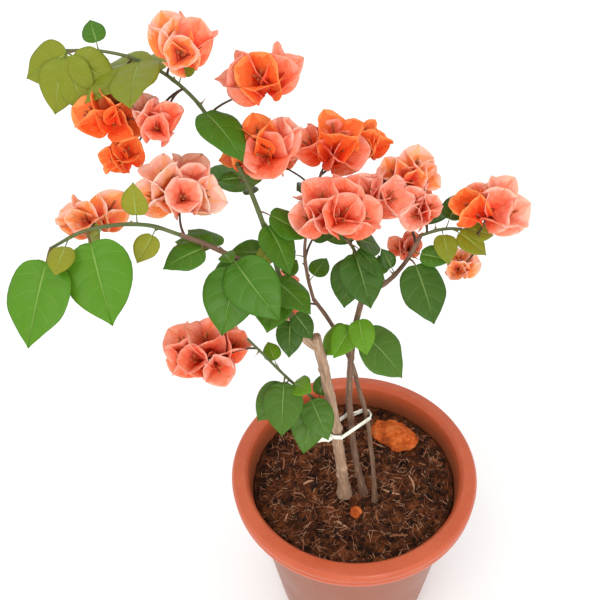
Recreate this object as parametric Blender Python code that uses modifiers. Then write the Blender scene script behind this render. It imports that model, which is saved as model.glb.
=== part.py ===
"""Potted bougainvillea: a young shrub of three tied stems in a round plastic nursery pot.

Metres, +Z up. The origin is the centre of the pot's flat underside. +X is the side of the short
right bough, and the long shoots reach out over -X.
"""
import math

import bmesh
import bpy
from mathutils import Matrix, Vector, noise

MM = 0.001
GAP = 0.3 * MM
MERGE = 0.01 * MM

# Pot: a turned shell with a rolled rim band and drain holes.
POT_HEIGHT = 0.210
RIM_RADIUS = 0.125
RIM_WIDTH = 0.017
RIM_DROP = 0.020
RIM_FALL = 0.004
BASE_RADIUS = 0.083
WALL = 0.0025
POT_STEPS = 40
DRAIN_HOLES = 6
DRAIN_RADIUS = 0.006
DRAIN_CIRCLE = 0.052
DRAIN_TURN = math.radians(5)

# Soil: level round the stems, uneven further out.
SOIL_TOP = 0.180
SOIL_RISE = 0.005
SOIL_LEAN = 0.030
SOIL_LEVEL_RADIUS = 0.034
SOIL_SWELL = 0.030
SOIL_RINGS = 5

# Limbs: sides of a tube, the length of one straight run, how far a stem wanders at its buds, and the
# steps along a limb that are looked at for a mass that it runs through.
LIMB_TURNS = 2
LIMB_RUN = 0.022
LIMB_WANDER = 0.0012
WANDER_SHIFTS = (0, 31, 67)
LIMB_STEPS = 20
ROOT_FLARE = 1.55
ROOT_FLARE_RUN = 0.016

# Masses: the lobes of a lumpy solid.
LOBE_DEPTH = 0.34
LOBE_WIDTH = 0.62
LOBE_ROUGHNESS = 0.10
GOLDEN_ANGLE = math.pi * (3 - math.sqrt(5))
# How far beyond a mass a limb still counts as running through it.
CROSSING_MARGIN = 5 * MM

TIE_HEIGHT = 0.288
TIE_RADIUS = 0.0011
TIE_CLEARANCE = 0.0006
TIE_STEPS = 24
TIE_SEEK_STEPS = 200
TIE_TAIL = Vector((-0.026, -0.008, -0.004))
TIE_TAIL_STEPS = 4
TIE_TAIL_ARCH = 0.004

COLOURS = {
    "terracotta plastic": (0.50, 0.12, 0.045),
    "potting soil": (0.045, 0.022, 0.014),
    "laterite": (0.42, 0.12, 0.045),
    "grey bark": (0.36, 0.25, 0.17),
    "brown bark": (0.16, 0.085, 0.050),
    "green bark": (0.11, 0.15, 0.050),
    "leaf green": (0.055, 0.19, 0.020),
    "coral bract": (0.85, 0.20, 0.11),
    "white tie": (0.80, 0.77, 0.68),
}
ROUGHNESS = {"terracotta plastic": 0.42, "potting soil": 0.95, "white tie": 0.45}
PLAIN_ROUGHNESS = 0.7

# Limbs in growing order. Start: a point in mm, or the parent and how far along it. Then the middle
# and the tip in mm, the radii at both ends in mm, and the bark.
LIMBS = {
    "trunk": ((-10, -15, 180), (-20, -20, 305), (-35, -20, 415), 5.5, 4.2, "grey bark"),
    "left_leader": (("trunk", 0.91), (-50, -25, 430), (-60, -35, 485), 3.0, 2.5, "grey bark"),
    "left_arch_rise": (("left_leader", 1), (-90, -50, 525), (-125, -65, 560), 2.2, 1.7, "brown bark"),
    "left_arch_reach": (("left_arch_rise", 1), (-160, -85, 585), (-200, -100, 580), 1.5, 1.0, "green bark"),
    "upper_shoot_rise": (("left_leader", 0.86), (-75, -15, 545), (-100, 10, 595), 2.0, 1.6, "green bark"),
    "upper_shoot_reach": (("upper_shoot_rise", 1), (-140, 20, 640), (-200, 30, 650), 1.5, 1.0, "green bark"),
    "middle_stem": ((10, -15, 180), (-5, -5, 320), (5, -10, 450), 3.4, 2.4, "brown bark"),
    "right_bough": (("middle_stem", 1), (30, -10, 470), (50, 0, 500), 2.1, 1.6, "brown bark"),
    "right_twig": (("right_bough", 1), (75, 0, 505), (95, -5, 500), 1.4, 1.0, "green bark"),
    "centre_shoot": (("middle_stem", 0.94), (0, -10, 485), (-10, -20, 515), 1.8, 1.2, "brown bark"),
    "thin_stem": ((20, -25, 180), (5, 5, 320), (-35, 15, 425), 2.4, 1.8, "brown bark"),
    "thin_stem_upper": (("thin_stem", 1), (-40, 25, 480), (-25, 35, 540), 1.6, 1.1, "brown bark"),
    "low_shoot": (("trunk", 0.56), (-55, -30, 370), (-90, -35, 430), 1.5, 1.0, "green bark"),
}

# Leaf masses are thin pads that stand out from a limb: the limb and how far along it, the heading
# round from +X and the dip below level in degrees, half the pad's length in mm, and for those at the
# back of the crown the length of the twig that carries them there.
LEAF_MASSES = {
    "shoot_tip": ("upper_shoot_reach", 1, 255, 45, 25),
    "shoot_outer": ("upper_shoot_reach", 0.4, 190, -5, 30),
    "shoot_inner": ("upper_shoot_reach", 0.15, 315, 15, 25),
    "shoot_foot": ("upper_shoot_rise", 0.5, 330, 30, 25),
    "arch_end": ("left_arch_reach", 1, 255, 30, 30),
    "arch_outer": ("left_arch_reach", 0.7, 285, 30, 30),
    "arch_top": ("left_arch_rise", 0.6, 165, -15, 20),
    "arch_hang": ("left_arch_rise", 0.55, 270, 35, 30),
    "fork": ("left_arch_rise", 0.1, 285, 0, 25),
    "leader": ("left_leader", 0.8, 300, 35, 20),
    "centre": ("centre_shoot", 0.75, 270, 30, 25),
    "right_inner": ("centre_shoot", 1, 345, 30, 20),
    "right_hang": ("right_bough", 0.85, 285, 30, 30),
    "right_twig": ("right_twig", 0.35, 315, 15, 15),
    "stem_top": ("middle_stem", 0.9, 240, 30, 20),
    "stem_right": ("middle_stem", 0.85, 330, 30, 30),
    "low_left": ("low_shoot", 0.6, 240, 30, 30),
    "low_right": ("low_shoot", 0.3, 270, 30, 25),
    "back_left": ("left_arch_rise", 0.75, 105, 10, 30, 75),
    "back_centre": ("thin_stem_upper", 0.3, 75, 0, 30, 30),
    "back_right": ("right_bough", 0.6, 90, 0, 30, 55),
}
PAD_REACH = 1.15
PAD_SHAPE = Vector((1, 0.72, 0.26))

# Bract masses are mounds that stand off from a limb: the limb and how far along it, the reach to the
# mound's centre in mm, and half its breadth in mm.
BRACT_MASSES = {
    "shoot_top": ("upper_shoot_reach", 0.25, (0, -10, 40), 25),
    "shoot_far": ("upper_shoot_reach", 0.65, (-10, -30, -25), 20),
    "shoot_drop": ("upper_shoot_reach", 0.6, (-15, -30, -55), 15),
    "shoot_side": ("upper_shoot_reach", 0.35, (-10, -35, -10), 20),
    "shoot_low": ("left_arch_reach", 0.05, (0, 40, 10), 30),
    "arch": ("left_arch_reach", 0.65, (-10, 30, -10), 20),
    "top": ("upper_shoot_rise", 1, (35, 10, 35), 25),
    "centre_left": ("upper_shoot_rise", 0.6, (15, 20, 25), 30),
    "centre_top": ("thin_stem_upper", 1, (5, 5, 20), 25),
    "right_top": ("thin_stem_upper", 1, (35, 15, 15), 20),
    "right_middle": ("right_bough", 0.9, (-5, 30, 50), 20),
    "right_inner": ("centre_shoot", 1, (25, 30, 20), 20),
    "right_outer": ("right_bough", 1, (0, 5, 25), 20),
    "right_end": ("right_twig", 1, (5, 5, 25), 30),
    "right_low": ("right_twig", 0.5, (15, 15, -50), 15),
    "centre": ("centre_shoot", 1, (-10, 0, 25), 30),
    "behind": ("right_bough", 0.6, (10, 30, 0), 15),
    "low_left": ("low_shoot", 1, (-35, 15, -25), 35),
    "low_top": ("thin_stem", 1, (-30, 5, 0), 25),
    "back": ("thin_stem_upper", 0.8, (-30, 55, 15), 25),
}
MOUND_SHAPE = Vector((1, 0.85, 0.52))
# The bank that turns a mound's broad side up and toward -Y, where the light is.
MOUND_BANK = 48
# How much of a mass's half length each of its lobes takes, in mm.
LOBE_SPAN = 6
MASS_SEGMENTS = 12
MASS_RINGS = 6

LUMP_LOBES = 7
FIRST_LUMP_SEED = 50
FIRST_LEAF_SEED = 0
FIRST_BRACT_SEED = 100
# Lumps on the soil: centre on the soil and half sizes, in mm, and the turn about +Z.
LUMPS = {
    "laterite_lump": ((50, 50, 190), (30, 20, 16), -30),
    "laterite_crumb": ((0, -40, 182), (9, 7, 6), 60),
}


def fresh_collection(name):
    """An empty collection, linked to the scene."""
    collection = bpy.data.collections.new(name)
    bpy.context.scene.collection.children.link(collection)
    return collection


def material(name):
    """The plain Principled material called name."""
    found = bpy.data.materials.get(name)
    if found:
        return found
    made = bpy.data.materials.new(name)
    made.use_nodes = True
    shader = made.node_tree.nodes["Principled BSDF"]
    shader.inputs["Base Color"].default_value = (*COLOURS[name], 1)
    shader.inputs["Roughness"].default_value = ROUGHNESS.get(name, PLAIN_ROUGHNESS)
    shader.inputs["Metallic"].default_value = 0
    return made


def place(name, mesh, colour=None):
    """An object for a mesh: a part of the plant if it has a colour, and a cutter if not."""
    made = bpy.data.objects.new(name, mesh)
    if colour:
        PARTS.objects.link(made)
        mesh.materials.clear()
        mesh.materials.append(material(colour))
    else:
        CUTTERS.objects.link(made)
        made.hide_render = True
        made.display_type = "WIRE"
    return made


def cut(target, cutter):
    """Takes the cutter's shape out of the target."""
    modifier = target.modifiers.new("cut_" + cutter.name, "BOOLEAN")
    modifier.operation = "DIFFERENCE"
    modifier.solver = "EXACT"
    modifier.object = cutter


def turned(name, profile, steps):
    """The mesh of a profile of (radius, height) points turned once about +Z."""
    line = bpy.data.meshes.new(name)
    edges = [(i, i + 1) for i in range(len(profile) - 1)]
    line.from_pydata([(radius, 0, height) for radius, height in profile], edges, [])
    turning = bpy.data.objects.new(name + "_profile", line)
    bpy.context.scene.collection.objects.link(turning)
    screw = turning.modifiers.new("turn", "SCREW")
    screw.steps = steps
    screw.render_steps = steps
    screw.use_merge_vertices = True
    screw.merge_threshold = MERGE
    made = solid_mesh(turning, name)
    made.shade_smooth()
    made.set_sharp_from_angle(angle=math.radians(35))
    return made


def solid_mesh(source, name):
    """The evaluated, welded mesh of an object, which is removed."""
    graph = bpy.context.evaluated_depsgraph_get()
    made = bpy.data.meshes.new_from_object(source.evaluated_get(graph))
    made.name = name
    made.transform(source.matrix_world)
    bm = bmesh.new()
    bm.from_mesh(made)
    bmesh.ops.remove_doubles(bm, verts=bm.verts, dist=MERGE)
    bm.to_mesh(made)
    bm.free()
    bpy.data.objects.remove(source)
    return made


# ---- Pot and soil -------------------------------------------------------------------------------

def inner_radius(height):
    """The radius of the pot's inner wall at a height."""
    foot = BASE_RADIUS - WALL
    return foot + (RIM_RADIUS - RIM_WIDTH - foot) * height / POT_HEIGHT


def pot_profile():
    """Up the inner wall, over the rim, down the band, back up behind it and down the outer wall."""
    lip = POT_HEIGHT - RIM_FALL
    band_foot = POT_HEIGHT - RIM_DROP
    mouth = inner_radius(POT_HEIGHT)
    return [
        (0, WALL),
        (inner_radius(0) - WALL, WALL),
        (inner_radius(2 * WALL), 2 * WALL),
        (inner_radius(POT_HEIGHT - 2 * WALL), POT_HEIGHT - 2 * WALL),
        (mouth + 0.4 * WALL, POT_HEIGHT - 0.5 * WALL),
        (mouth + 1.4 * WALL, POT_HEIGHT),
        (RIM_RADIUS - WALL, lip + 0.3 * RIM_FALL),
        (RIM_RADIUS - 0.3 * WALL, lip - 0.4 * WALL),
        (RIM_RADIUS, lip - 1.6 * WALL),
        (RIM_RADIUS - 0.6 * WALL, band_foot),
        (RIM_RADIUS - 1.6 * WALL, band_foot),
        (RIM_RADIUS - 1.1 * WALL, lip - 1.5 * WALL),
        (mouth + 2 * WALL, POT_HEIGHT - 1.2 * WALL),
        (inner_radius(POT_HEIGHT) + WALL, POT_HEIGHT - 2.4 * WALL),
        (BASE_RADIUS, 0.8 * WALL),
        (BASE_RADIUS - 0.8 * WALL, 0),
        (0, 0),
    ]


def build_pot():
    """The pot, with a ring of drain holes through its floor."""
    pot = place("pot", turned("pot", pot_profile(), POT_STEPS), "terracotta plastic")
    for index in range(DRAIN_HOLES):
        turn = Matrix.Rotation(DRAIN_TURN + math.tau * index / DRAIN_HOLES, 4, "Z")
        bm = bmesh.new()
        bmesh.ops.create_cone(bm, cap_ends=True, segments=12, radius1=DRAIN_RADIUS,
                              radius2=DRAIN_RADIUS, depth=4 * WALL)
        bmesh.ops.translate(bm, vec=turn @ Vector((DRAIN_CIRCLE, 0, 0)), verts=bm.verts)
        mesh = bpy.data.meshes.new("drain_hole")
        bm.to_mesh(mesh)
        bm.free()
        cut(pot, place(f"drain_hole_{index}", mesh))


def soil_height(x, y):
    """The height of the soil's surface: level at the stems, and lower towards -X."""
    away = Vector((x, y + 0.018))
    level = min(max(away.length / SOIL_LEVEL_RADIUS - 1, 0), 1)
    swell = noise.noise(Vector((x, y, 0.5)) / SOIL_SWELL)
    return SOIL_TOP + level * (SOIL_RISE * swell + SOIL_LEAN * x)


def soil_mesh(name, raised):
    """The root ball's mesh, its top raised by a clearance."""
    inner_foot = inner_radius(0) - WALL
    edge = inner_radius(SOIL_TOP) - 2 * GAP
    top = [(edge * (1 - i / SOIL_RINGS), SOIL_TOP) for i in range(SOIL_RINGS, -1, -1)]
    foot = [(inner_radius(2 * WALL) - GAP, 2 * WALL + GAP), (inner_foot - GAP, WALL + GAP)]
    made = turned(name, top + foot + [(0, WALL + GAP)], POT_STEPS)
    for vertex in made.vertices:
        if vertex.co.z > SOIL_TOP - MERGE:
            vertex.co.z = soil_height(vertex.co.x, vertex.co.y) + raised
    return made


def build_soil():
    """The root ball, and the lumps that lie in its surface."""
    place("soil", soil_mesh("soil", 0), "potting soil")
    bed = place("soil_clearance", soil_mesh("soil_clearance", GAP))
    for index, (name, (centre, size, turn)) in enumerate(LUMPS.items()):
        centre, size = Vector(centre) * MM, Vector(size) * MM
        mesh = lumpy_mesh(name, centre, size, (turn, 0, 0), lobes=LUMP_LOBES, seed=FIRST_LUMP_SEED + index)
        cut(place(name, mesh, "laterite"), bed)


# ---- Limbs --------------------------------------------------------------------------------------

def along(name, fraction):
    """The point of a limb's centre line at a fraction of its length, without the wander."""
    start, middle, tip = (limb_start(name), *(Vector(p) * MM for p in LIMBS[name][1:3]))
    bend = 2 * middle - (start + tip) / 2
    rest = 1 - fraction
    return start * rest ** 2 + bend * (2 * fraction * rest) + tip * fraction ** 2


def limb_start(name):
    """Where a limb starts: its own point on the soil, or a point on its parent."""
    start = LIMBS[name][0]
    if isinstance(start[0], str):
        return along(*start)
    return Vector(start) * MM + Vector((0, 0, GAP))


def radius_at(name, fraction):
    """The radius of a limb, with the flare of a stem that stands in the soil."""
    first, last = LIMBS[name][3] * MM, LIMBS[name][4] * MM
    radius = first + (last - first) * fraction
    if isinstance(LIMBS[name][0][0], str):
        return radius
    rise = (along(name, fraction) - limb_start(name)).length
    return radius * (1 + (ROOT_FLARE - 1) * math.exp(-(rise / ROOT_FLARE_RUN) ** 2 * 2))


def wander(point):
    """How far a stem strays from its line at a point: one fixed swell for each of X, Y and Z."""
    spot = point / LIMB_RUN
    return Vector([noise.noise(spot + Vector((shift, 0, 0))) for shift in WANDER_SHIFTS]) * LIMB_WANDER


def limb_mesh(name, grown):
    """A limb's tapering tube, grown by a clearance all round and at its tip."""
    length = (along(name, 1) - along(name, 0)).length
    count = max(3, round(length / LIMB_RUN))
    rooted = not isinstance(LIMBS[name][0][0], str)
    line = bpy.data.curves.new(name, "CURVE")
    line.dimensions = "3D"
    line.bevel_depth = 1
    line.bevel_resolution = LIMB_TURNS
    line.use_fill_caps = True
    spline = line.splines.new("POLY")
    stops = [i / count for i in range(count + 1)]
    if rooted:
        stops[1:1] = [0.3 * ROOT_FLARE_RUN / length, 0.9 * ROOT_FLARE_RUN / length]
    spline.points.add(len(stops) - 1)
    for point, fraction in zip(spline.points, stops):
        centre = along(name, fraction)
        point.co = (*(centre + wander(centre) * min(1, 4 * fraction * (1 - fraction))), 1)
        point.radius = radius_at(name, fraction) + grown
    if grown:
        reach = (along(name, 1) - along(name, 0.9)).normalized() * grown
        spline.points[-1].co = (*(along(name, 1) + reach), 1)
    made = bpy.data.objects.new(name, line)
    bpy.context.scene.collection.objects.link(made)
    mesh = solid_mesh(made, name)
    if rooted:
        flatten_foot(mesh, limb_start(name).z - grown)
    mesh.shade_smooth()
    mesh.set_sharp_from_angle(angle=math.radians(50))
    return mesh


def flatten_foot(mesh, level):
    """Brings the first ring of a stem's tube down to one level cut."""
    for vertex in mesh.vertices:
        if vertex.co.z < level + 0.12 * ROOT_FLARE_RUN:
            vertex.co.z = level


def build_limbs():
    """Every limb, each cut clear of the limb that it grows from and of its sister."""
    for name in LIMBS:
        place(name + "_clearance", limb_mesh(name, GAP))
    for name, (start, *_, bark) in LIMBS.items():
        limb = place(name, limb_mesh(name, 0), bark)
        if isinstance(start[0], str):
            cut(limb, bpy.data.objects[start[0] + "_clearance"])
    cut(bpy.data.objects["upper_shoot_rise"], bpy.data.objects["left_arch_rise_clearance"])
    cut(bpy.data.objects["centre_shoot"], bpy.data.objects["right_bough_clearance"])


# ---- Foliage masses -----------------------------------------------------------------------------

def lumpy_mesh(name, centre, size, turns, lobes, seed):
    """A closed, lobed solid: a ball pushed out round evenly spread directions, then stretched."""
    heading, dip, bank = (math.radians(angle) for angle in turns)
    bm = bmesh.new()
    bmesh.ops.create_uvsphere(bm, u_segments=MASS_SEGMENTS, v_segments=MASS_RINGS, radius=1)
    peaks = []
    for index in range(lobes):
        height = 1 - 2 * (index + 0.5) / lobes
        angle = GOLDEN_ANGLE * index + seed
        wide = math.sqrt(1 - height ** 2)
        peaks.append(Vector((wide * math.cos(angle), height, wide * math.sin(angle))))
    for vertex in bm.verts:
        out = vertex.co.normalized()
        nearest = min(out.angle(peak) for peak in peaks)
        lobe = math.exp(-(nearest / LOBE_WIDTH) ** 2)
        rough = LOBE_ROUGHNESS * noise.noise(out * 2 + Vector((seed, 0, 0)))
        vertex.co = out * (1 - LOBE_DEPTH * (1 - lobe) + rough)
    turn = Matrix.Rotation(heading, 4, "Z") @ Matrix.Rotation(dip, 4, "Y") @ Matrix.Rotation(bank, 4, "X")
    stretch = Matrix.Diagonal((*size, 1))
    bmesh.ops.transform(bm, matrix=Matrix.Translation(centre) @ turn @ stretch, verts=bm.verts)
    mesh = bpy.data.meshes.new(name)
    bm.to_mesh(mesh)
    bm.free()
    mesh.shade_smooth()
    return mesh


def leaf_pad(limb, fraction, heading, dip, half, twig=0):
    """A pad's centre, half sizes and turns: it stands out from its limb, or from a twig's end."""
    turn = Matrix.Rotation(math.radians(heading), 3, "Z") @ Matrix.Rotation(math.radians(dip), 3, "Y")
    reach = radius_at(limb, fraction) + (twig + PAD_REACH * half) * MM
    centre = along(limb, fraction) + turn @ Vector((reach, 0, 0))
    return centre, PAD_SHAPE * half * MM, (heading, dip, 0)


def bract_mound(limb, fraction, reach, half):
    """A mound's centre, half sizes and turns."""
    centre = along(limb, fraction) + Vector(reach) * MM
    return centre, MOUND_SHAPE * half * MM, (0, 0, MOUND_BANK)


def crossing_limbs(centre, size):
    """The limbs that come within a mass's reach."""
    for name in LIMBS:
        near = min((along(name, i / LIMB_STEPS) - centre).length for i in range(LIMB_STEPS + 1))
        if near < max(size) + CROSSING_MARGIN:
            yield name


def build_masses(masses, shaped, prefix, colour, first_seed):
    """Masses of leaves or of bracts, each cut clear of the limbs that run through it."""
    for index, (name, values) in enumerate(masses.items()):
        centre, size, turns = shaped(*values)
        lobes = max(3, round(max(size) / (LOBE_SPAN * MM)))
        mesh = lumpy_mesh(prefix + name, centre, size, turns, lobes, first_seed + index)
        mass = place(prefix + name, mesh, colour)
        for limb in crossing_limbs(centre, size):
            cut(mass, bpy.data.objects[limb + "_clearance"])


# ---- Tie ----------------------------------------------------------------------------------------

def stem_circles():
    """The centre and radius of each stem at the height of the tie."""
    for name in ("trunk", "middle_stem", "thin_stem"):
        steps = (i / TIE_SEEK_STEPS for i in range(TIE_SEEK_STEPS + 1))
        fraction = min(steps, key=lambda f: abs(along(name, f).z - TIE_HEIGHT))
        yield along(name, fraction), radius_at(name, fraction)


def build_tie():
    """A soft strip looped round the three stems, and its loose tail."""
    offset = TIE_RADIUS + TIE_CLEARANCE + LIMB_WANDER
    circles = list(stem_circles())
    loop = []
    for step in range(TIE_STEPS):
        angle = math.tau * step / TIE_STEPS
        side = Vector((math.cos(angle), math.sin(angle), 0))
        centre, radius = max(circles, key=lambda circle: circle[0].dot(side) + circle[1])
        loop.append(centre + side * (radius + offset))
    for point in loop:
        point.z = TIE_HEIGHT
    strip("tie_loop", loop, True)
    knot = min(loop, key=lambda point: point.x + point.y) - Vector((1, 1, 0)) * (1.5 * TIE_RADIUS + GAP)
    tail = []
    for step in range(TIE_TAIL_STEPS + 1):
        run = step / TIE_TAIL_STEPS
        tail.append(knot + TIE_TAIL * run + Vector((0, 0, TIE_TAIL_ARCH * math.sin(math.pi * run))))
    strip("tie_tail", tail, False)


def strip(name, points, closed):
    """A round strip along points."""
    line = bpy.data.curves.new(name, "CURVE")
    line.dimensions = "3D"
    line.bevel_depth = TIE_RADIUS
    line.bevel_resolution = LIMB_TURNS
    line.use_fill_caps = True
    spline = line.splines.new("POLY")
    spline.points.add(len(points) - 1)
    spline.use_cyclic_u = closed
    for target, point in zip(spline.points, points):
        target.co = (*point, 1)
    made = bpy.data.objects.new(name, line)
    bpy.context.scene.collection.objects.link(made)
    place(name, solid_mesh(made, name), "white tie")


for old in list(bpy.data.objects):
    bpy.data.objects.remove(old)
PARTS = fresh_collection("potted_bougainvillea")
CUTTERS = fresh_collection("cutters")
build_pot()
build_soil()
build_limbs()
build_masses(LEAF_MASSES, leaf_pad, "leaf_mass_", "leaf green", FIRST_LEAF_SEED)
build_masses(BRACT_MASSES, bract_mound, "bract_mass_", "coral bract", FIRST_BRACT_SEED)
build_tie()
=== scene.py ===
"""Looks of the potted bougainvillea: bark, twigs, leaves, papery bracts, pot, soil and tie.

Metres, +Z up. The limbs' lines, the pot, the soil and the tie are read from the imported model. A seeded
rule grows each mass's twig, leaves and flower clusters from the nearest limb, as large as the mass.
"""
import math
import random

import bmesh
import bpy
import numpy as np
from mathutils import Matrix, Vector, noise
from mathutils.bvhtree import BVHTree


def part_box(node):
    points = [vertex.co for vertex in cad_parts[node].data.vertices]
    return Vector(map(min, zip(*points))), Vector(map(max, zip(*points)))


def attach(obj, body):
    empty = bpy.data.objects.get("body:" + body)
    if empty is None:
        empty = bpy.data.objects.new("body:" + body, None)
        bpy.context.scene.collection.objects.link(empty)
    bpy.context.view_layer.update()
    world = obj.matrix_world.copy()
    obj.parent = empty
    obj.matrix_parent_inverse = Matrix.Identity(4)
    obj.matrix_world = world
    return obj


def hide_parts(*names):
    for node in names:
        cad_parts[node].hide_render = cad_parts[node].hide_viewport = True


MM = 0.001
UP = Vector((0, 0, 1))
GOLDEN_ANGLE = math.pi * (3 - math.sqrt(5))

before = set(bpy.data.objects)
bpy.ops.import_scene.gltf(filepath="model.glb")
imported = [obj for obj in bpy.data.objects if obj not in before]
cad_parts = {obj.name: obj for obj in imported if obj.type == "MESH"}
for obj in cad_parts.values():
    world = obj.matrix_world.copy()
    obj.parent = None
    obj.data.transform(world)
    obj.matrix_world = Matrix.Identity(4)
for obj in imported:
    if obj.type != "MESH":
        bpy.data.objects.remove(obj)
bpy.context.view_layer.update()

# ---- Driving values -----------------------------------------------------------------------------

# Limbs: the limb that each grows from, its bark, and the number of sides of its tube.
LIMBS = {
    "trunk": (None, "grey_bark", 36),
    "left_leader": ("trunk", "grey_bark", 20),
    "left_arch_rise": ("left_leader", "brown_bark", 18),
    "left_arch_reach": ("left_arch_rise", "green_bark", 16),
    "upper_shoot_rise": ("left_leader", "green_bark", 18),
    "upper_shoot_reach": ("upper_shoot_rise", "green_bark", 16),
    "middle_stem": (None, "brown_bark", 24),
    "right_bough": ("middle_stem", "brown_bark", 18),
    "right_twig": ("right_bough", "green_bark", 14),
    "centre_shoot": ("middle_stem", "brown_bark", 16),
    "thin_stem": (None, "brown_bark", 20),
    "thin_stem_upper": ("thin_stem", "brown_bark", 16),
    "low_shoot": ("trunk", "green_bark", 14),
}

# Leaf masses, by region: the tone of the spray, and whether one leaf fills the mass or a fan does.
# The outer arch masses take the lighter copy of green, painted light; the inner, hanging and back masses
# take the darker copy, painted shade.
LEAF_SPRAYS = {
    "shoot": {"shoot_tip": ("olive", 4), "shoot_outer": ("olive", 4), "shoot_inner": ("green", 1),
              "shoot_foot": ("green", 2)},
    "arch": {"arch_end": ("bright", 1), "arch_outer": ("bright", 1), "arch_top": ("green", 3),
             "arch_hang": ("green", 2), "fork": ("green", 2), "leader": ("dark", 2)},
    "right": {"centre": ("dark", 2), "right_inner": ("dark", 2), "right_hang": ("dark", 1),
              "right_twig": ("olive", 3), "stem_top": ("lime", 3), "stem_right": ("mid", 1)},
    "low": {"low_left": ("mid", 2), "low_right": ("mid", 2)},
    "back": {"back_left": ("green", 5), "back_centre": ("mid", 5), "back_right": ("dark", 5)},
}
# Bract masses, by region: the palettes that their clusters are dealt.
BRACT_SPRAYS = {
    "shoot": {"shoot_top": ("peach", "coral"), "shoot_far": ("orange", "peach"), "shoot_drop": ("orange",),
              "shoot_side": ("pink", "coral"), "shoot_low": ("pale", "pink"), "arch": ("orange", "peach"),
              "top": ("coral", "orange")},
    "centre": {"centre_left": ("pink", "coral", "orange"), "centre_top": ("orange", "coral"),
               "centre": ("pink", "coral")},
    "right": {"right_top": ("orange", "coral"), "right_middle": ("coral", "peach"),
              "right_inner": ("coral", "pink"), "right_outer": ("orange", "pink"),
              "right_end": ("orange", "pink"), "right_low": ("peach",), "behind": ("coral",)},
    "low": {"low_left": ("coral", "pink", "coral"), "low_top": ("coral", "orange")},
    "back": {"back": ("coral", "pink")},
}
# The limbs that carry small leaves at their buds, and the region and tones of those.
# The darker copy of green among these tones is painted shade.
YOUNG_LEAVES = {
    "upper_shoot_rise": ("shoot", ("green", "dark")),
    "upper_shoot_reach": ("shoot", ("olive", "green")),
    "left_arch_rise": ("arch", ("green", "young")),
    "left_arch_reach": ("arch", ("olive", "young")),
    "right_bough": ("right", ("dark", "green")),
    "right_twig": ("right", ("olive", "dark")),
    "centre_shoot": ("right", ("dark", "mid")),
    "thin_stem_upper": ("right", ("dark", "green")),
    "low_shoot": ("low", ("mid", "lime")),
}

# Three of these tones are one green at three strengths: the lightest is painted light on outer leaves, the
# darkest painted shade on inner, hanging and back leaves.
LEAF_TONES = {
    "bright": (0.075, 0.215, 0.009),
    "green": (0.050, 0.150, 0.007),
    "mid": (0.058, 0.142, 0.012),
    "dark": (0.036, 0.100, 0.008),
    "lime": (0.105, 0.260, 0.008),
    "olive": (0.185, 0.216, 0.012),
    "young": (0.230, 0.240, 0.015),
}
VEIN_COLOUR = Vector((0.34, 0.48, 0.14))
UNDERSIDE_COLOUR = Vector((0.20, 0.32, 0.11))
# Leaf finishes: the colour that the leaf's tone goes toward, how far, and the roughness.
LEAF_FINISHES = {
    "leaf": (VEIN_COLOUR, 0, 0.42),
    "vein": (VEIN_COLOUR, 0.16, 0.45),
    "midrib": (VEIN_COLOUR, 0.42, 0.45),
    "underside": (UNDERSIDE_COLOUR, 0.5, 0.60),
}

BRACT_TONES = {
    "ember": (0.90, 0.085, 0.018),
    "orange": (0.92, 0.155, 0.032),
    "apricot": (0.93, 0.26, 0.075),
    "flame": (0.88, 0.115, 0.050),
    "coral": (0.91, 0.190, 0.095),
    "salmon": (0.92, 0.250, 0.150),
    "rose": (0.92, 0.320, 0.230),
    "blush": (0.94, 0.450, 0.350),
    "peach": (0.94, 0.400, 0.210),
    "shell": (0.95, 0.560, 0.450),
}
# From the foot of a bract to its edge. The deep red foot tones are partly the bract's own colour and partly
# painted shade in the heart of the cluster.
PALETTES = {
    "coral": ("ember", "flame", "coral", "salmon", "rose"),
    "orange": ("ember", "ember", "orange", "orange", "apricot"),
    "pink": ("flame", "coral", "salmon", "rose", "blush"),
    "pale": ("orange", "apricot", "peach", "blush", "shell"),
    "peach": ("flame", "coral", "apricot", "peach", "blush"),
}
# Other plain finishes: base colour and roughness.
PLAIN_FINISHES = {
    "stalk": ((0.110, 0.150, 0.030), 0.55),
    "ruddy_stalk": ((0.150, 0.085, 0.030), 0.55),
    "woody_twig": ((0.080, 0.048, 0.026), 0.70),
    "thorn": ((0.200, 0.110, 0.050), 0.50),
    "bud": ((0.180, 0.160, 0.040), 0.60),
    "flower_tube": ((0.300, 0.050, 0.020), 0.55),
    "flower_ribs": ((0.450, 0.110, 0.035), 0.55),
    "flower_tip": ((0.360, 0.120, 0.040), 0.55),
    "coir": ((0.300, 0.115, 0.055), 0.90),
    "pale_coir": ((0.500, 0.270, 0.160), 0.90),
    "dark_coir": ((0.090, 0.032, 0.014), 0.90),
    "crumb": ((0.050, 0.020, 0.010), 0.95),
    "red_crumb": ((0.140, 0.042, 0.016), 0.95),
    "black_crumb": ((0.018, 0.008, 0.005), 0.95),
}
BRACT_ROUGHNESS = 0.62
# How much light passes into a leaf or a bract, and how it spreads there.
LEAF_SOFTNESS = 0.05
BRACT_SOFTNESS = 0.25
SOFT_RADIUS = (1.0, 0.5, 0.25)
SOFT_DEPTH = 2 * MM
SOFT_SPECULAR = 0.2


# ---- Lines --------------------------------------------------------------------------------------

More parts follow.
